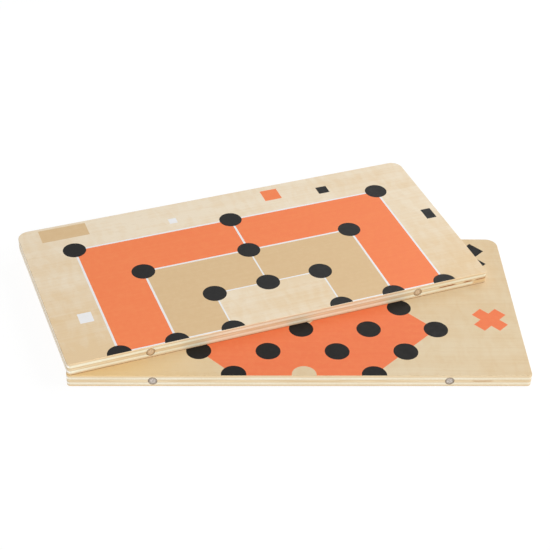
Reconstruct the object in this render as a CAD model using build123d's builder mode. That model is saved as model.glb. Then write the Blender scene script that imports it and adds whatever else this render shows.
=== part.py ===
from build123d import *
import os

# Two half boards of a wooden board game, one lying fanned on the other. Millimetres, +Z up.
# The origin is the middle of the lower half's underside, and +X runs along its joint edge.
# On each half, x is measured from the middle of the joint edge and y from the joint edge back.

# The half board's outline
board_width = 300.0          # along the joint edge
board_depth = 148.5          # from the joint edge to the back edge
back_corner_r = 8.0          # round corners at the back
joint_corner_r = 2.5         # barely rounded corners at the joint edge
arris_r = 0.3                # sanded edge of both faces

# The five plies
face_veneer_t = 1.1
crossband_t = 2.6
core_t = 1.6

# The magnets in the joint edge
magnet_d = 6.0
magnet_length = 5.0
magnet_from_end = 54.3       # from an end of the joint edge to the nearer magnet
magnet_recess = 0.1          # how far a magnet's face stands back from the edge
magnet_chamfer = 0.25
bore_clearance = 0.05        # glue gap round a magnet

# The printed ink
ink_t = 0.1                  # depth of an ink film, flush with the veneer
point_d = 16.4               # a point of either game
bare_point_d = 16.0          # the bare middle of the solitaire cross
line_width = 1.5
inner_line_width = 1.1       # of the innermost square, and from its side middles to the next one
ring_count = 3               # nested squares of the morris face
ring_pitch = 38.75           # from one square to the next
ring_points = 3              # points along a side of a square
hole_pitch = 32.05           # from point to point of the solitaire cross
cross_reach = 3              # points from the middle of the cross to its end
cross_flank = 1              # points from the middle line of an arm to its side

# Small printed marks of the morris face, by their middles
tan_bar = (34.2, 14.6)
tan_bar_from_side = 31.7
tan_bar_from_back = 9.8
orange_square_side = 13.0
orange_square_x = 39.2
orange_square_from_back = 11.7
white_back_square_side = 6.0
white_back_square_x = -40.2
white_back_square_from_back = 20.4
white_side_square = (9.4, 10.2)
white_side_square_from_side = 22.3
white_side_square_y = 41.9
black_back_square_side = 8.4
black_back_square_x = 78.6
black_back_square_from_back = 17.9
black_side_bar = (7.6, 11.8)
black_side_bar_from_side = 8.6
black_side_bar_y = 77.3

# Small printed marks of the solitaire face, by their middles
saltire_bar = (23.6, 9.1)
saltire_from_side = 21.2
saltire_y = 55.8
large_diamond_side = 12.5
large_diamond_from_side = 22.8
large_diamond_from_back = 15.4
small_diamond_side = 8.0
small_diamond_from_side = 20.0
small_diamond_from_back = 30.4

# How far the shown prints and the magnets sit off true, as they do on the real halves
lower_print_shift = (2.0, 1.3)
lower_print_turn = -0.22     # anticlockwise, in degrees
upper_print_shift = (0.5, -0.1)
lower_magnets_shift = 0.6
upper_magnets_shift = 0.5

# How the upper half lies on the lower one, by its left joint corner
fan_angle = 19.1             # turned anticlockwise, in degrees
corner_inset = 1.5           # from the lower half's left end
corner_overhang = 0.1        # past the lower half's joint edge

board_t = 2 * face_veneer_t + 2 * crossband_t + core_t
half_width = board_width / 2
magnet_spread = board_width - 2 * magnet_from_end
diamond_turn = 45            # degrees from a square to a diamond

lower_plane = Plane(origin=(0, -board_depth / 2, 0), z_dir=(0, 0, 1))
fanned_x = Vector(1, 0, 0).rotate(Axis.Z, fan_angle)
fanned_corner = Vector(corner_inset - half_width, -board_depth / 2 - corner_overhang, board_t)
upper_plane = Plane(origin=fanned_corner + fanned_x * half_width, x_dir=fanned_x, z_dir=(0, 0, 1))


def outline():
    """The half board from above: nearly square at the joint edge, rounded at the back."""
    with BuildSketch() as sketch:
        with Locations((0, board_depth / 2)):
            Rectangle(board_width, board_depth)
        fillet(sketch.vertices().group_by(Axis.Y)[-1], back_corner_r)
        fillet(sketch.vertices().group_by(Axis.Y)[0], joint_corner_r)
    return sketch.sketch


def printable():
    """The flat of a face, inside its sanded edges: all that ink may cover."""
    with BuildSketch() as sketch:
        add(outline())
        offset(amount=-arris_r)
    return sketch.sketch


# The patterns are drawn as they lie on the joined board, whose middle is the middle of the
# joint edge. Each half's printable face then keeps its own part of them.


def ring_side(ring):
    """Side of a square of the morris face, counted from the innermost."""
    return 2 * ring * ring_pitch


def morris_points(marked):
    """Black points at the corners and side middles of the squares, and two black marks."""
    with BuildSketch() as sketch:
        for ring in range(1, ring_count + 1):
            point_gap = ring_side(ring) / (ring_points - 1)
            with GridLocations(point_gap, point_gap, ring_points, ring_points):
                Circle(point_d / 2)
        Circle(point_d / 2, mode=Mode.SUBTRACT)
        if marked:
            with Locations((black_back_square_x, board_depth - black_back_square_from_back)):
                Rectangle(black_back_square_side, black_back_square_side)
            with Locations((half_width - black_side_bar_from_side, black_side_bar_y)):
                Rectangle(*black_side_bar)
    return sketch.sketch


def morris_lines(marked):
    """White lines: the squares, the lines that join their side middles, and two white marks.

    The joining line that lies along the joint edge is printed in full on each half.
    """
    with BuildSketch() as sketch:
        for ring in range(ring_count, 0, -1):
            width = line_width if ring > 1 else inner_line_width
            outer = ring_side(ring) + width
            inner = ring_side(ring) - width
            Rectangle(outer, outer)
            Rectangle(inner, inner, mode=Mode.SUBTRACT)
            if ring > 1:
                Rectangle(inner, 2 * line_width)
                Rectangle(line_width if ring > 2 else inner_line_width, inner)
        if marked:
            with Locations((white_back_square_x, board_depth - white_back_square_from_back)):
                Rectangle(white_back_square_side, white_back_square_side)
            with Locations((white_side_square_from_side - half_width, white_side_square_y)):
                Rectangle(*white_side_square)
    return sketch.sketch


def morris_orange(marked):
    """The orange field between the outer square and the next, and one orange mark."""
    with BuildSketch() as sketch:
        Rectangle(ring_side(ring_count), ring_side(ring_count))
        Rectangle(ring_side(ring_count - 1), ring_side(ring_count - 1), mode=Mode.SUBTRACT)
        if marked:
            with Locations((orange_square_x, board_depth - orange_square_from_back)):
                Rectangle(orange_square_side, orange_square_side)
    return sketch.sketch


def morris_tan(marked):
    """The tan field round the innermost square, and the tan bar by the back corner."""
    with BuildSketch() as sketch:
        Rectangle(ring_side(ring_count - 1), ring_side(ring_count - 1))
        Rectangle(ring_side(1), ring_side(1), mode=Mode.SUBTRACT)
        if marked:
            with Locations((tan_bar_from_side - half_width, board_depth - tan_bar_from_back)):
                Rectangle(*tan_bar)
    return sketch.sketch


def solitaire_points(marked):
    """Black points in a cross turned to a diamond, open in the middle, and two black marks."""
    long_row = 2 * cross_reach + 1
    short_row = 2 * cross_flank + 1
    with BuildSketch() as upright:
        with GridLocations(hole_pitch, hole_pitch, long_row, short_row):
            Circle(point_d / 2)
        with GridLocations(hole_pitch, hole_pitch, short_row, long_row):
            Circle(point_d / 2)
        Circle(point_d / 2, mode=Mode.SUBTRACT)
    with BuildSketch() as sketch:
        add(upright.sketch, rotation=diamond_turn)
        if marked:
            with Locations((half_width - large_diamond_from_side, board_depth - large_diamond_from_back)):
                Rectangle(large_diamond_side, large_diamond_side, rotation=diamond_turn)
            with Locations((half_width - small_diamond_from_side, board_depth - small_diamond_from_back)):
                Rectangle(small_diamond_side, small_diamond_side, rotation=diamond_turn)
    return sketch.sketch


def solitaire_orange(marked):
    """The orange cross through the outer points, bare at its middle, and the orange saltire."""
    arm_length = 2 * cross_reach * hole_pitch
    arm_width = 2 * cross_flank * hole_pitch
    with BuildSketch() as sketch:
        Rectangle(arm_length, arm_width, rotation=diamond_turn)
        Rectangle(arm_width, arm_length, rotation=diamond_turn)
        Circle(bare_point_d / 2, mode=Mode.SUBTRACT)
        if marked:
            with Locations((half_width - saltire_from_side, saltire_y)):
                Rectangle(*saltire_bar, rotation=diamond_turn)
                Rectangle(*saltire_bar, rotation=-diamond_turn)
    return sketch.sketch


def shown_inks(printed, shift, turn):
    """Sets a print off true, and trims each ink to the face and to the inks given before it."""
    shown = {}
    for ink, area in printed.items():
        with BuildSketch() as sketch:
            with Locations(shift):
                add(area, rotation=turn)
            add(printable(), mode=Mode.INTERSECT)
            for over in shown.values():
                add(over, mode=Mode.SUBTRACT)
        shown[ink] = sketch.sketch
    return shown


def morris_inks(marked, shift=(0, 0), turn=0):
    """What shows of each ink on a morris face, from the last one printed to the first."""
    printed = {
        "black": morris_points(marked),
        "white": morris_lines(marked),
        "orange": morris_orange(marked),
        "tan": morris_tan(marked),
    }
    return shown_inks(printed, shift, turn)


def solitaire_inks(marked, shift=(0, 0), turn=0):
    """What shows of each ink on a solitaire face."""
    printed = {
        "black": solitaire_points(marked),
        "orange": solitaire_orange(marked),
    }
    return shown_inks(printed, shift, turn)


def joint_face(plane):
    """The plane of a half's joint edge, with x along it and its origin at mid thickness."""
    middle = plane.from_local_coords((0, 0, board_t / 2))
    return Plane(origin=middle, x_dir=plane.x_dir, z_dir=-plane.y_dir)


def magnet_places(shift):
    """Where a half's two magnets sit along its joint edge."""
    return [(shift - magnet_spread / 2, 0), (shift + magnet_spread / 2, 0)]


def bored_ply(plane, low, thickness, places):
    """An inner ply, cut where the magnets' bores cross it."""
    with BuildPart() as ply:
        with BuildSketch(plane.offset(low)):
            add(outline())
        extrude(amount=thickness)
        with BuildSketch(joint_face(plane)):
            with Locations(*places):
                Circle(magnet_d / 2 + bore_clearance)
        extrude(amount=-(magnet_recess + magnet_length), mode=Mode.SUBTRACT)
    return ply


def face_veneer(plane, low, outside, film_low, inks):
    """An outer ply: its outside edges sanded, and pockets as deep as the ink films."""
    with BuildPart() as veneer:
        with BuildSketch(plane.offset(low)):
            add(outline())
        extrude(amount=face_veneer_t)
        flats = veneer.faces().filter_by(Axis.Z).sort_by(Axis.Z)
        fillet(flats[outside].edges(), arris_r)
        with BuildSketch(plane.offset(film_low)):
            for area in inks.values():
                add(area)
        extrude(amount=ink_t, mode=Mode.SUBTRACT)
    return veneer


def ink_film(plane, film_low, area):
    """A printed film that fills its pocket, flush with the veneer."""
    with BuildPart() as film:
        with BuildSketch(plane.offset(film_low)):
            add(area)
        extrude(amount=ink_t)
    return film


def magnet(plane, place):
    """A disc magnet in its bore, its face just behind the joint edge."""
    with BuildPart() as disc:
        with BuildSketch(joint_face(plane).offset(-magnet_recess)):
            with Locations(place):
                Circle(magnet_d / 2)
        extrude(amount=-magnet_length)
        chamfer(disc.edges().filter_by(GeomType.CIRCLE), magnet_chamfer)
    return disc


def keep(piece, name):
    """Labels a finished piece and writes it out."""
    piece.part.label = name
    export_step(piece.part, f"parts/{name}.step")


os.makedirs("parts", exist_ok=True)

top_veneer_low = board_t - face_veneer_t
core_low = face_veneer_t + crossband_t
top_crossband_low = core_low + core_t
top_film_low = board_t - ink_t

lower_top_inks = solitaire_inks(True, lower_print_shift, lower_print_turn)
upper_top_inks = morris_inks(True, upper_print_shift)
halves = {
    "lower": (lower_plane, lower_magnets_shift, lower_top_inks, morris_inks(False)),
    "upper": (upper_plane, upper_magnets_shift, upper_top_inks, solitaire_inks(False)),
}

for half, (plane, magnets_shift, top_inks, bottom_inks) in halves.items():
    places = magnet_places(magnets_shift)
    keep(bored_ply(plane, core_low, core_t, places), f"{half}_core")
    keep(bored_ply(plane, face_veneer_t, crossband_t, places), f"{half}_bottom_crossband")
    keep(bored_ply(plane, top_crossband_low, crossband_t, places), f"{half}_top_crossband")

    keep(face_veneer(plane, top_veneer_low, -1, top_film_low, top_inks), f"{half}_top_veneer")
    keep(face_veneer(plane, 0, 0, 0, bottom_inks), f"{half}_bottom_veneer")

    for ink, area in top_inks.items():
        keep(ink_film(plane, top_film_low, area), f"{half}_top_{ink}_ink")
    for ink, area in bottom_inks.items():
        keep(ink_film(plane, 0, area), f"{half}_bottom_{ink}_ink")

    keep(magnet(plane, places[0]), f"{half}_left_magnet")
    keep(magnet(plane, places[1]), f"{half}_right_magnet")
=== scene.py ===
"""The two half boards of a wooden travel game board, one fanned on the other, as photographed."""

from math import atan2, pi

import bpy
import numpy as np
from mathutils import Matrix, Vector


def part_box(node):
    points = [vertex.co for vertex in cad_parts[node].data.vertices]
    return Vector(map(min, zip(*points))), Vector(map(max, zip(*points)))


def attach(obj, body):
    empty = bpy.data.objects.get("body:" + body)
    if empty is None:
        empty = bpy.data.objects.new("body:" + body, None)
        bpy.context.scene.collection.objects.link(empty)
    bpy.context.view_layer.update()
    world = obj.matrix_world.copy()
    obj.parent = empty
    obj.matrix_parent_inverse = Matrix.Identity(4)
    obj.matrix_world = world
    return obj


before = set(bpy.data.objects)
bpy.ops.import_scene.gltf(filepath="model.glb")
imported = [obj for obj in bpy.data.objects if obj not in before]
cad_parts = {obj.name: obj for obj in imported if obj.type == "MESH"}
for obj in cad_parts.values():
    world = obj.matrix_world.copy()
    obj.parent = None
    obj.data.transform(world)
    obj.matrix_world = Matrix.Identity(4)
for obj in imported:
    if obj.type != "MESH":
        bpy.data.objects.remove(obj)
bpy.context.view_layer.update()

# ---------------------------------------------------------------------------------------------
# Camera. The board was photographed from in front of its joint edges, a little to the left of
# its middle, looking down on it. Angles are in radians, and heading is to the right of +Y.
# ---------------------------------------------------------------------------------------------
camera_place = (-0.05583, -0.70854, 0.58534)
heading, dip, roll = 0.05743, 0.66135, 0.03914
sensor_width, focal_length = 36.0, 87.45         # in millimetres

camera_data = bpy.data.cameras.new("camera")
camera_data.sensor_width, camera_data.lens = sensor_width, focal_length
camera_data.clip_start = 0.01
camera = bpy.data.objects.new("camera", camera_data)
camera.matrix_world = (
    Matrix.Translation(camera_place)
    @ Matrix.Rotation(-heading, 4, "Z")
    @ Matrix.Rotation(pi / 2 - dip, 4, "X")
    @ Matrix.Rotation(roll, 4, "Z")
)
bpy.context.scene.collection.objects.link(camera)
bpy.context.scene.camera = camera

# ---------------------------------------------------------------------------------------------
# Cores. One tan ply in the middle of each half, its grain along the joint edge, glued between
# the crossbands. Cheap wood, with splits in the joint edge, most of all to the right, their
# brown partly painted shade in the gaps.
# ---------------------------------------------------------------------------------------------


def middle(node):
    """The middle of a CAD node's box, in metres."""
    low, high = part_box(node)
    return (low + high) / 2


# Each half's own coordinates: x runs along its joint edge and z up, both from the middle
# between its two magnets, and y runs back from them.
own_middle, own_turn = {}, {}
for half in ("lower", "upper"):
    left, right = middle(f"{half}_left_magnet"), middle(f"{half}_right_magnet")
    own_middle[half] = (left + right) / 2
    own_turn[half] = atan2(right.y - left.y, right.x - left.x)


def finish_of(name):
    """A new material, with its shader."""
    material = bpy.data.materials.new(name)
    material.use_nodes = True
    return material, material.node_tree.nodes["Principled BSDF"]


def add_node(material, kind, inputs, output=0, **settings):
    """Adds a shader node, sets or links its inputs, and returns one of its outputs."""
    node = material.node_tree.nodes.new("ShaderNode" + kind)
    for name, value in settings.items():
        setattr(node, name, value)
    for name, value in inputs.items():
        join(material, value, node.inputs[name])
    return node.outputs[output]


def join(material, value, socket):
    """Links a socket to another node's output, or sets it to a plain value."""
    if isinstance(value, bpy.types.NodeSocket):
        material.node_tree.links.new(value, socket)
    else:
        socket.default_value = value


def own_coordinates(material, half):
    """Object coordinates turned and shifted into a half's own coordinates."""
    place = add_node(material, "TexCoord", {}, output="Object")
    return add_node(
        material, "Mapping",
        {"Vector": place, "Location": own_middle[half], "Rotation": (0, 0, own_turn[half])},
        vector_type="TEXTURE",
    )


def place_along(material, own, axis):
    """Where a point is along one of a half's own axes, in metres."""
    return add_node(material, "SeparateXYZ", {"Vector": own}, output=axis)


def noise(material, own, size, shift=0.0, detail=2.0, distortion=0.0):
    """Noise from 0 to 1 whose features are about size, in metres along each own axis."""
    scaled = add_node(
        material, "Mapping",
        {"Vector": own, "Location": (shift,) * 3, "Scale": [1 / length for length in size]},
    )
    return add_node(
        material, "TexNoise",
        {"Vector": scaled, "Scale": 1.0, "Detail": detail, "Distortion": distortion},
    )


def ramp(material, value, low, high, to_low=0.0, to_high=1.0):
    """Carries low..high smoothly to to_low..to_high, and holds it there outside."""
    return add_node(
        material, "MapRange",
        {"Value": value, "From Min": low, "From Max": high, "To Min": to_low, "To Max": to_high},
        interpolation_type="SMOOTHSTEP",
    )


def mix(material, share, first, second):
    """Goes from the first colour to the second by share."""
    return add_node(
        material, "Mix", {0: share, 6: first, 7: second}, output=2, data_type="RGBA",
    )


def maths(material, operation, first, second=0.0):
    """One operation on two values, or on the first alone."""
    return add_node(material, "Math", {0: first, 1: second}, operation=operation)


def total(material, first, *others):
    """Values added up."""
    for other in others:
        first = maths(material, "ADD", first, other)
    return first


def product(material, first, *others):
    """Values multiplied together."""
    for other in others:
        first = maths(material, "MULTIPLY", first, other)
    return first


def distance_from(material, value, place):
    """How far a value is from a place, on either side."""
    return maths(material, "ABSOLUTE", maths(material, "SUBTRACT", value, place))


def colour(red, green, blue):
    """A colour as a screen shows it, 0 to 255, turned into the linear one that shaders take."""
    screen = np.array([red, green, blue]) / 255
    linear = np.where(screen <= 0.04045, screen / 12.92, ((screen + 0.055) / 1.055) ** 2.4)
    return (*linear.tolist(), 1.0)


# The brown of the wood next to a glued face.
glue_line = colour(206, 176, 132)


def glue_lines(material, height, node, surface, share, reach):
    """Browns a ply's wood within reach of its two glued faces."""
    low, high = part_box(node)
    half_name, half_ply = node.split("_")[0], (high.z - low.z) / 2
    ply_middle = (low.z + high.z) / 2 - own_middle[half_name].z
    off_middle = distance_from(material, height, ply_middle)
    near = ramp(material, off_middle, half_ply - reach, half_ply, 0, share)
    return mix(material, near, surface, glue_line)


def set_surface(material, shader, surface, roughness, relief, strength, distance, gloss=0.5):
    """Sets the shader's colour, roughness and gloss, and a bump of distance metres by relief."""
    join(material, surface, shader.inputs["Base Color"])
    join(material, roughness, shader.inputs["Roughness"])
    bump = add_node(
        material, "Bump", {"Strength": strength, "Distance": distance, "Height": relief},
    )
    join(material, bump, shader.inputs["Normal"])
    shader.inputs["Specular IOR Level"].default_value = gloss


def dress(node_name, material):
    """Puts a material on a CAD node, in the place of the one it came with."""
    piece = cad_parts[node_name]
    piece.data.materials.clear()
    piece.data.materials.append(material)


core_pale, core_deep, split_brown_and_shade = colour(233, 213, 176), colour(214, 186, 144), colour(156, 78, 22)

# The splits in each core: where they start and end along a half's own x, their height along z,
# and their share of brown, which is partly painted shade. They taper at their ends, fade above
# and below, and behind the edge.
core_splits = {
    "lower": ((0.110, 0.124, 0.0, 0.35),),
    "upper": (
        (0.112, 0.125, -0.0004, 1.0), (0.131, 0.138, -0.0004, 1.0), (0.140, 0.151, -0.0004, 0.8),
    ),
}
taper_inside, taper_outside = 0.002, 0.001       # on both sides of a split's end
split_height_fade = (0.0003, 0.0008)             # off its height, on both sides
split_depth_fade = (0.0, 0.01)                   # along a half's own y

for half, shift in (("lower", 37.0), ("upper", 41.0)):
    node_name = f"{half}_core"
    core, shader = finish_of(node_name)
    own = own_coordinates(core, half)
    streaks = noise(core, own, (0.030, 0.0030, 0.0007), shift, detail=3.0)
    ragged = noise(core, own, (0.0025, 0.0060, 0.0004), shift + 3, detail=3.0)
    x, y, z = (place_along(core, own, axis) for axis in "XYZ")
    outline = ramp(core, ragged, 0.35, 0.55, 0.6, 1)
    split_share = 0.0
    for start, end, height, share in core_splits[half]:
        half_length, off_centre = (end - start) / 2, distance_from(core, x, (start + end) / 2)
        along = ramp(
            core, off_centre, half_length - taper_inside, half_length + taper_outside, share, 0,
        )
        across = ramp(core, distance_from(core, z, height), *split_height_fade, 1, 0)
        split = product(core, along, across, outline)
        split_share = maths(core, "MAXIMUM", split_share, split)
    split_share = product(core, split_share, ramp(core, y, *split_depth_fade, 1, 0))
    wood = mix(core, ramp(core, streaks, 0.35, 0.7), core_pale, core_deep)
    # The splits' brown is partly painted shade in their gaps.
    wood = mix(core, split_share, wood, split_brown_and_shade)
    wood = glue_lines(core, z, node_name, wood, share=0.6, reach=0.0003)
    set_surface(
        core, shader, wood, ramp(core, streaks, 0.3, 0.7, 0.6, 0.78),
        relief=maths(core, "SUBTRACT", streaks, split_share),
        strength=0.6, distance=0.0003, gloss=0.3,
    )
    dress(node_name, core)

# ---------------------------------------------------------------------------------------------
# Crossbands. Two cream softwood plies, glued to both sides of each core with their grain across
# the board, so that the joint edge shows their sawn end grain. Only their edges are seen.
# ---------------------------------------------------------------------------------------------
crossband_looks = {
    "lower": {"pale": colour(237, 229, 208), "deep": colour(228, 214, 184), "shift": 21.0},
    "upper": {"pale": colour(240, 236, 214), "deep": colour(232, 222, 192), "shift": 29.0},
}

# A half's left and right edges show long grain, which is paler than the end grain in front.
# Part of that pale is painted light, lifting the faces of those edges.
long_grain_and_painted_light, long_grain_and_light_fade = colour(250, 244, 232), (0.1490, 0.1496)

# Painted shade browns one ply at the right end of its joint edge, below where the core is split.
shaded_ply_below_split, painted_split_shade_wood = "upper_bottom_crossband", colour(226, 194, 146)
split_shade_along, split_shade_inwards = (0.1375, 0.1400), (0.0, 0.01)


def grain_streaks(material, own, along, shift):
    """Long fine streaks along x or y, 1 to 2 mm wide. They show faintly through the inks too."""
    size = (0.070, 0.0020, 0.0012) if along == "x" else (0.0020, 0.070, 0.0012)
    return noise(material, own, size, shift, detail=3.0, distortion=0.25)


for half, look in crossband_looks.items():
    shift = look["shift"]
    for side in ("top", "bottom"):
        node_name = f"{half}_{side}_crossband"
        crossband, shader = finish_of(node_name)
        own = own_coordinates(crossband, half)
        x, z = (place_along(crossband, own, axis) for axis in "XZ")
        streaks = grain_streaks(crossband, own, "y", shift)
        patches = noise(crossband, own, (0.035, 0.050, 0.003), shift, detail=2.0)
        pores = noise(crossband, own, (0.00035, 0.004, 0.00035), shift, detail=1.0)
        tone = total(
            crossband,
            ramp(crossband, patches, 0.3, 0.7, 0, 0.6),
            ramp(crossband, streaks, 0.35, 0.7, 0, 0.35),
        )
        wood = mix(crossband, tone, look["pale"], look["deep"])
        wood = mix(crossband, ramp(crossband, pores, 0.6, 0.8, 0, 0.4), wood, glue_line)
        # Paler long grain at both ends, partly painted light.
        at_ends = ramp(crossband, maths(crossband, "ABSOLUTE", x), *long_grain_and_light_fade)
        wood = mix(crossband, at_ends, wood, long_grain_and_painted_light)
        # Painted shade on this ply, below the split core.
        if node_name == shaded_ply_below_split:
            y = place_along(crossband, own, "Y")
            painted_split_shade = product(
                crossband,
                ramp(crossband, y, *split_shade_inwards, 1, 0), ramp(crossband, x, *split_shade_along),
            )
            wood = mix(crossband, painted_split_shade, wood, painted_split_shade_wood)
        wood = glue_lines(crossband, z, node_name, wood, share=0.75, reach=0.0008)
        set_surface(
            crossband, shader, wood, ramp(crossband, streaks, 0.3, 0.7, 0.62, 0.75),
            relief=pores, strength=0.5, distance=0.00015, gloss=0.3,
        )
        dress(node_name, crossband)

# ---------------------------------------------------------------------------------------------
# Face veneers. Rotary-cut pale hardwood, its grain along the joint edge, glued over the
# crossbands, sanded, and sealed with a thin matt lacquer. The upper half's sheets are paler.
# ---------------------------------------------------------------------------------------------
half_thickness = 0.0045

# How deep the wood's tone is at the joint edge and at the back, and how much more at both ends
# and in the left and right front corners. Then the painted warm shade in the left front corner,
# next to the upper half's edge, and the painted contact shade that browns the lower arris of the
# joint edge, where the half lies on what is below it.
veneer_looks = {
    "lower": {
        "pale": colour(229, 211, 178), "deep": colour(221, 194, 152), "shift": 3.0,
        "front": 0.35, "back": 0.55, "ends": 0.0, "corners": (0.4, 0.1),
        "painted_warm_shade": 0.9, "painted_contact_shade": 0.40,
    },
    "upper": {
        "pale": colour(244, 229, 204), "deep": colour(233, 205, 163), "shift": 11.0,
        "front": 0.30, "back": 0.0, "ends": 0.22, "corners": (0.25, 0.35),
        "painted_warm_shade": 0.0, "painted_contact_shade": 0.85,
    },
}
# The second colour here is painted warm shade, next to the upper half's edge.
veneer_fibre, veneer_warm_shade = colour(196, 160, 118), colour(234, 200, 143)
# The second colour here is painted contact shade, for the lower arris of the joint edge.
veneer_cut_edge, veneer_contact_shade = colour(224, 200, 160), colour(152, 94, 38)

# The middle is paler and the ends are deeper by these shares of "ends".
paler_middle, deeper_ends = -0.36, 0.64

# Where each of these tones fades, along a half's own x, y or z.
back_fade, ends_fade = (0.0, 0.145), (0.05, 0.13)
left_corner_fade, right_corner_fade = (-0.14, -0.07), (0.09, 0.14)
corners_back_fade = (0.0, 0.07)
warm_shade_along_fade, warm_shade_back_fade = (-0.125, -0.02), (0.0, 0.05)
cut_edge_fade = (half_thickness - 0.0007, half_thickness - 0.0001)
contact_shade_up_fade = (0.0003 - half_thickness, 0.0007 - half_thickness)
contact_shade_back_fade = (-0.0024, -0.0021)


def grain_fibres(material, own, shift):
    """Short fibres along x, half a millimetre wide. They show through the inks too."""
    return noise(material, own, (0.0065, 0.00045, 0.0005), shift, detail=1.0)


for half, look in veneer_looks.items():
    veneer, shader = finish_of(f"{half}_face_veneer")
    own = own_coordinates(veneer, half)
    shift = look["shift"]
    clouds = noise(veneer, own, (0.090, 0.040, 0.006), shift, detail=2.0, distortion=0.5)
    bands = noise(veneer, own, (0.160, 0.012, 0.006), shift + 5, detail=3.0, distortion=0.3)
    ripples = noise(veneer, own, (0.006, 0.014, 0.006), shift + 7, detail=2.0, distortion=0.4)
    streaks = grain_streaks(veneer, own, "x", shift)
    fibres = grain_fibres(veneer, own, shift)

    x, y, z = (place_along(veneer, own, axis) for axis in "XYZ")
    left, right = look["corners"]
    corners = total(
        veneer,
        ramp(veneer, x, *left_corner_fade, left, 0), ramp(veneer, x, *right_corner_fade, 0, right),
    )
    off_middle = maths(veneer, "ABSOLUTE", x)
    tone = total(
        veneer,
        ramp(veneer, y, *back_fade, look["front"], look["back"]),
        product(veneer, corners, ramp(veneer, y, *corners_back_fade, 1, 0)),
        ramp(
            veneer, off_middle, *ends_fade, paler_middle * look["ends"], deeper_ends * look["ends"],
        ),
        ramp(veneer, clouds, 0.30, 0.72, 0, 0.30),
        ramp(veneer, bands, 0.35, 0.70, -0.05, 0.15),
        ramp(veneer, ripples, 0.35, 0.65, -0.12, 0.14),
        ramp(veneer, streaks, 0.35, 0.70, -0.06, 0.11),
    )
    face = mix(veneer, maths(veneer, "MAXIMUM", tone, 0.0), look["pale"], look["deep"])
    # Painted warm shade in the lower half's left front corner, next to the upper half's edge.
    painted_warm_shade = product(
        veneer,
        ramp(veneer, y, *warm_shade_back_fade, 1, 0),
        ramp(veneer, x, *warm_shade_along_fade, look["painted_warm_shade"], 0),
    )
    face = mix(veneer, painted_warm_shade, face, veneer_warm_shade)
    face = mix(veneer, ramp(veneer, fibres, 0.62, 0.80, 0, 0.30), face, veneer_fibre)

    # The cut edge of the sheet, from its sanded arris inwards, is a little darker and warmer.
    edge_share = ramp(veneer, maths(veneer, "ABSOLUTE", z), *cut_edge_fade, 0.8, 0)
    wood = mix(veneer, edge_share, face, veneer_cut_edge)
    # Painted contact shade browns the lower arris of the joint edge, where the half lies on what is
    # below it.
    painted_contact_shade = product(
        veneer,
        ramp(veneer, z, *contact_shade_up_fade, 1, 0),
        ramp(veneer, y, *contact_shade_back_fade, look["painted_contact_shade"], 0),
    )
    wood = mix(veneer, painted_contact_shade, wood, veneer_contact_shade)
    set_surface(
        veneer, shader, wood, ramp(veneer, streaks, 0.3, 0.7, 0.50, 0.62),
        relief=total(veneer, product(veneer, streaks, 0.6), fibres),
        strength=0.35, distance=0.00012, gloss=0.35,
    )
    for side in ("top", "bottom"):
        dress(f"{half}_{side}_veneer", veneer)

# ---------------------------------------------------------------------------------------------
# Printed inks. Matt screen-printed colours on both faces of each half. The ink is thin enough
# that the veneer's streaks and fibres show through it faintly.
# ---------------------------------------------------------------------------------------------

# Each ink's colour where it lies thick and where it lies thin, and its gloss. The black is one
# ink on both halves; the lower half's is painted darker and less glossy, as painted shade.
tan_look = (colour(222, 189, 143), colour(231, 203, 161), 0.3)
white_look = (colour(245, 245, 247), colour(238, 236, 230), 0.3)
ink_looks = {
    "lower": {
        "orange": (colour(241, 119, 71), colour(247, 144, 93), 0.3),
        "tan": tan_look,
        "white": white_look,
        "black": (colour(13, 12, 12), colour(27, 26, 24), 0.28),
    },
    "upper": {
        "orange": (colour(250, 131, 80), colour(254, 153, 98), 0.3),
        "tan": tan_look,
        "white": white_look,
        "black": (colour(17, 17, 17), colour(33, 32, 31), 0.42),
    },
}

for half, inks in ink_looks.items():
    shift = veneer_looks[half]["shift"]
    for ink_name, (thick_ink, thin_ink, gloss) in inks.items():
        ink, shader = finish_of(f"{half}_{ink_name}_ink")
        own = own_coordinates(ink, half)
        streaks = grain_streaks(ink, own, "x", shift)
        fibres = grain_fibres(ink, own, shift)
        mottle = noise(ink, own, (0.0030, 0.0030, 0.0030), shift + 50, detail=3.0)
        thin = total(
            ink,
            ramp(ink, streaks, 0.35, 0.75, 0, 0.13),
            ramp(ink, mottle, 0.35, 0.75, 0.12, 0.36),
            ramp(ink, fibres, 0.62, 0.85, 0, 0.20),
        )
        set_surface(
            ink, shader, mix(ink, thin, thick_ink, thin_ink),
            ramp(ink, mottle, 0.3, 0.7, 0.50, 0.62),
            relief=total(ink, product(ink, streaks, 0.4), fibres),
            strength=0.25, distance=0.0001, gloss=gloss,
        )
        for side in ("top", "bottom"):
            film_name = f"{half}_{side}_{ink_name}_ink"
            if film_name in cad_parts:
                dress(film_name, ink)

# ---------------------------------------------------------------------------------------------
# Magnets. Two nickel-plated discs pushed into bores in each joint edge and glued there, their
# plating smudged, with painted shade darkening them towards the rim. The upper half's are
# painted brighter and the lower half's darker, as painted light on one plating.
# ---------------------------------------------------------------------------------------------
# One plating, painted brighter on the upper half and darker on the lower half, as painted light.
nickel_painted_light_looks = {
    "lower": {"bright": colour(214, 205, 198), "smudge_and_shade": colour(158, 147, 134), "smudged": 0.6},
    "upper": {"bright": colour(252, 242, 236), "smudge_and_shade": colour(204, 186, 168), "smudged": 0.4},
}
# Painted shade of the gap round each magnet, from its axis outwards.
painted_rim_shade_fade = (0.0012, 0.0024)                 # from a magnet's axis outwards

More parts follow.
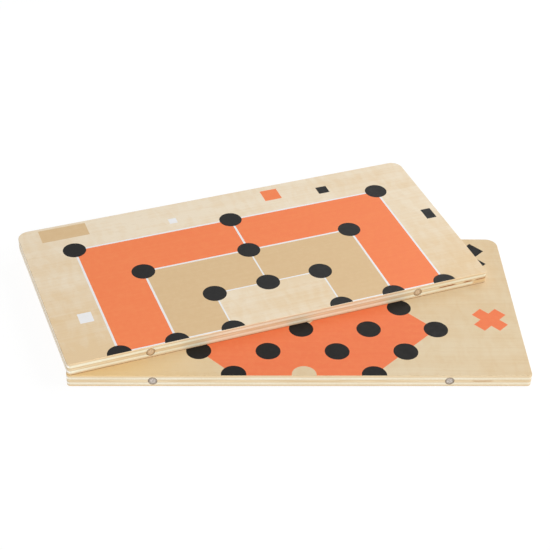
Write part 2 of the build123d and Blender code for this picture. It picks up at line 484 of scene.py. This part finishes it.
for half, look in nickel_painted_light_looks.items():
    nickel, shader = finish_of(f"{half}_nickel_plating")
    own = own_coordinates(nickel, half)
    spread = (middle(f"{half}_right_magnet") - middle(f"{half}_left_magnet")).length
    x, z = (place_along(nickel, own, axis) for axis in "XZ")
    beside = maths(nickel, "SUBTRACT", maths(nickel, "ABSOLUTE", x), spread / 2)
    squares = total(nickel, product(nickel, beside, beside), product(nickel, z, z))
    from_axis = maths(nickel, "SQRT", squares)
    smudges = noise(nickel, own, (0.0012, 0.0012, 0.0012), 5.0, detail=3.0)
    # Smudges, and painted shade towards the rim.
    smudges_and_rim_shade = total(
        nickel,
        ramp(nickel, from_axis, *painted_rim_shade_fade, 0, 0.75),
        ramp(nickel, smudges, 0.4, 0.65, 0, look["smudged"]),
    )
    set_surface(
        nickel, shader, mix(nickel, smudges_and_rim_shade, look["bright"], look["smudge_and_shade"]),
        ramp(nickel, smudges, 0.3, 0.7, 0.32, 0.48),
        relief=smudges, strength=0.3, distance=0.00005,
    )
    shader.inputs["Metallic"].default_value = 1.0
    for side in ("left", "right"):
        dress(f"{half}_{side}_magnet", nickel)

# ---------------------------------------------------------------------------------------------
# Shade round the magnets. A thin uneven brown ring, painted shade of the gap round each magnet,
# between its chamfer and its bore, just behind the joint edge.
# ---------------------------------------------------------------------------------------------
ring_points_round, ring_points_across = 144, 10
ring_inner_r, ring_outer_r = 0.00268, 0.00303    # on the magnet's chamfer, and at the bore's wall
ring_front, ring_back = 0.00010, 0.00034         # how far behind the joint edge
ring_waves = (2, 3, 5, 8, 13)                    # how often each wave goes round the ring
inner_waver, front_waver = 0.00007, 0.00003      # how far the waves move its inside and front
magnet_half_length, magnet_sunk = 0.0025, 0.0001 # its face is sunk behind the joint edge


def gap_shade_ring(name, centre, turn, seed):
    """A closed ring round a magnet's axis, as a surface of round by across points.

    Across, a point goes once round a flattened oval between the inner and outer radius and
    between the front and the back. Round the axis, both the oval's inner side and its front
    waver by a sum of five sines of random phase, so that the ring looks uneven.
    """
    phases = np.random.default_rng(seed).uniform(0, 2 * pi, (2, len(ring_waves)))
    round_angle = np.linspace(0, 2 * pi, ring_points_round, endpoint=False)[:, None]
    across_angle = np.linspace(0, 2 * pi, ring_points_across, endpoint=False)[None, :]
    waver = [
        sum(np.sin(n * round_angle + phase) / n**0.5 for n, phase in zip(ring_waves, row))
        for row in phases
    ]
    inner = ring_inner_r + inner_waver * waver[0]
    front = ring_front + front_waver * waver[1]
    radius = (ring_outer_r + inner) / 2 + (ring_outer_r - inner) / 2 * np.cos(across_angle)
    depth = (ring_back + front) / 2 + (ring_back - front) / 2 * np.sin(across_angle)
    beside, up = radius * np.cos(round_angle), radius * np.sin(round_angle)
    points = np.stack([
        centre.x + beside * np.cos(turn) - depth * np.sin(turn),
        centre.y + beside * np.sin(turn) + depth * np.cos(turn),
        centre.z + up,
    ], axis=-1).reshape(-1, 3)

    # Point i round and j across has the number i * ring_points_across + j.
    i, j = np.meshgrid(np.arange(ring_points_round), np.arange(ring_points_across), indexing="ij")
    next_i, next_j = (i + 1) % ring_points_round, (j + 1) % ring_points_across
    corners = ((i, j), (next_i, j), (next_i, next_j), (i, next_j))
    numbers = [a * ring_points_across + b for a, b in corners]
    quads = np.stack(numbers, axis=-1).reshape(-1, 4)
    mesh = bpy.data.meshes.new(name)
    mesh.from_pydata(points.tolist(), [], quads.tolist())
    mesh.shade_smooth()
    ring = bpy.data.objects.new(name, mesh)
    bpy.context.scene.collection.objects.link(ring)
    return ring


# The ring's browns are painted shade of the gap round the magnet.
gap_shade_pale, gap_shade_deep = colour(150, 110, 70), colour(98, 64, 36)
gap_shade_finish, shader = finish_of("painted_gap_shade")
place = add_node(gap_shade_finish, "TexCoord", {}, output="Object")
ring_mottle = noise(gap_shade_finish, place, (0.0006, 0.0006, 0.0006), 2.0, detail=2.0)
set_surface(
    gap_shade_finish, shader, mix(gap_shade_finish, ramp(gap_shade_finish, ring_mottle, 0.35, 0.65), gap_shade_pale, gap_shade_deep),
    ramp(gap_shade_finish, ring_mottle, 0.3, 0.7, 0.30, 0.50), relief=ring_mottle, strength=0.3, distance=0.00003,
)

for half, first_seed in (("lower", 1), ("upper", 3)):
    inward = Vector((-np.sin(own_turn[half]), np.cos(own_turn[half]), 0.0))
    for seed, side in enumerate(("left", "right"), start=first_seed):
        to_edge = magnet_half_length + magnet_sunk
        edge = middle(f"{half}_{side}_magnet") - inward * to_edge
        ring = gap_shade_ring(f"{half}_{side}_gap_shade_ring", edge, own_turn[half], seed)
        ring.data.materials.append(gap_shade_finish)
        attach(ring, f"{half}_half")

# ---------------------------------------------------------------------------------------------
# Floor and light. A plain white table, lit from below so that it shows almost no shadow, and a
# white wall round it that only the camera sees. A white tent, with softboxes in front, at the
# right and behind at the right, and a weak one low at the left.
# ---------------------------------------------------------------------------------------------
floor_half, floor_height = 3.0, -0.0002
wall_radius, wall_top, wall_sides = 2.9, 4.0, 96


def glowing_paint(name, glow, gloss):
    """Grey paint that glows white, so that a shadow hardly shows on it."""
    paint, shader = finish_of(name)
    shader.inputs["Base Color"].default_value = colour(97, 97, 97)
    shader.inputs["Roughness"].default_value = 0.9
    shader.inputs["Specular IOR Level"].default_value = gloss
    shader.inputs["Emission Color"].default_value = (1.0, 1.0, 1.0, 1.0)
    shader.inputs["Emission Strength"].default_value = glow
    return paint


def painted_mesh(name, points, quads, paint):
    """A new object of these points and quads, in one paint."""
    mesh = bpy.data.meshes.new(name)
    mesh.from_pydata(points, [], quads)
    mesh.materials.append(paint)
    painted = bpy.data.objects.new(name, mesh)
    bpy.context.scene.collection.objects.link(painted)
    return painted


floor_corners = ((-1, -1), (1, -1), (1, 1), (-1, 1))
floor = painted_mesh(
    "floor", [(x * floor_half, y * floor_half, 0) for x, y in floor_corners], [(0, 1, 2, 3)],
    glowing_paint("pale_floor", glow=0.9, gloss=0.1),
)
floor.location.z = floor_height

# The wall is a cylinder: a circle of points at the floor, and the same circle at its top.
round_wall = np.linspace(0, 2 * pi, wall_sides, endpoint=False)
circle = wall_radius * np.stack([np.cos(round_wall), np.sin(round_wall)], axis=-1)
wall_points = np.concatenate([np.insert(circle, 2, z, axis=1) for z in (floor_height, wall_top)])
foot = np.arange(wall_sides)
next_foot = (foot + 1) % wall_sides
wall_quads = np.stack([foot, foot + wall_sides, next_foot + wall_sides, next_foot], axis=-1)
wall = painted_mesh(
    "wall", wall_points.tolist(), wall_quads.tolist(),
    glowing_paint("pale_wall", glow=0.95, gloss=0.5),
)
wall.visible_diffuse = wall.visible_glossy = wall.visible_shadow = False

tent = bpy.data.worlds.new("tent")
tent.use_nodes = True
tent.node_tree.nodes["Background"].inputs["Color"].default_value = (1.0, 1.0, 1.0, 1.0)
tent.node_tree.nodes["Background"].inputs["Strength"].default_value = 0.385
bpy.context.scene.world = tent


def soft_light(name, place, size, power):
    """A square area light at place, turned to face the board."""
    light = bpy.data.lights.new(name, "AREA")
    light.size, light.energy = size, power
    lamp = bpy.data.objects.new(name, light)
    lamp.location = place
    lamp.rotation_euler = (-Vector(place)).to_track_quat("-Z", "Y").to_euler()
    bpy.context.scene.collection.objects.link(lamp)


soft_light("right_light", (1.6, -0.1, 1.1), 1.2, 15.5)
soft_light("back_light", (0.9, 1.3, 1.3), 1.2, 11.0)
soft_light("front_light", (0.1, -1.6, 0.9), 1.2, 14.4)
soft_light("left_light", (-1.7, 0.2, 0.5), 1.0, 1.8)

bpy.context.scene.view_settings.view_transform = "Standard"
bpy.context.scene.view_settings.look = "None"
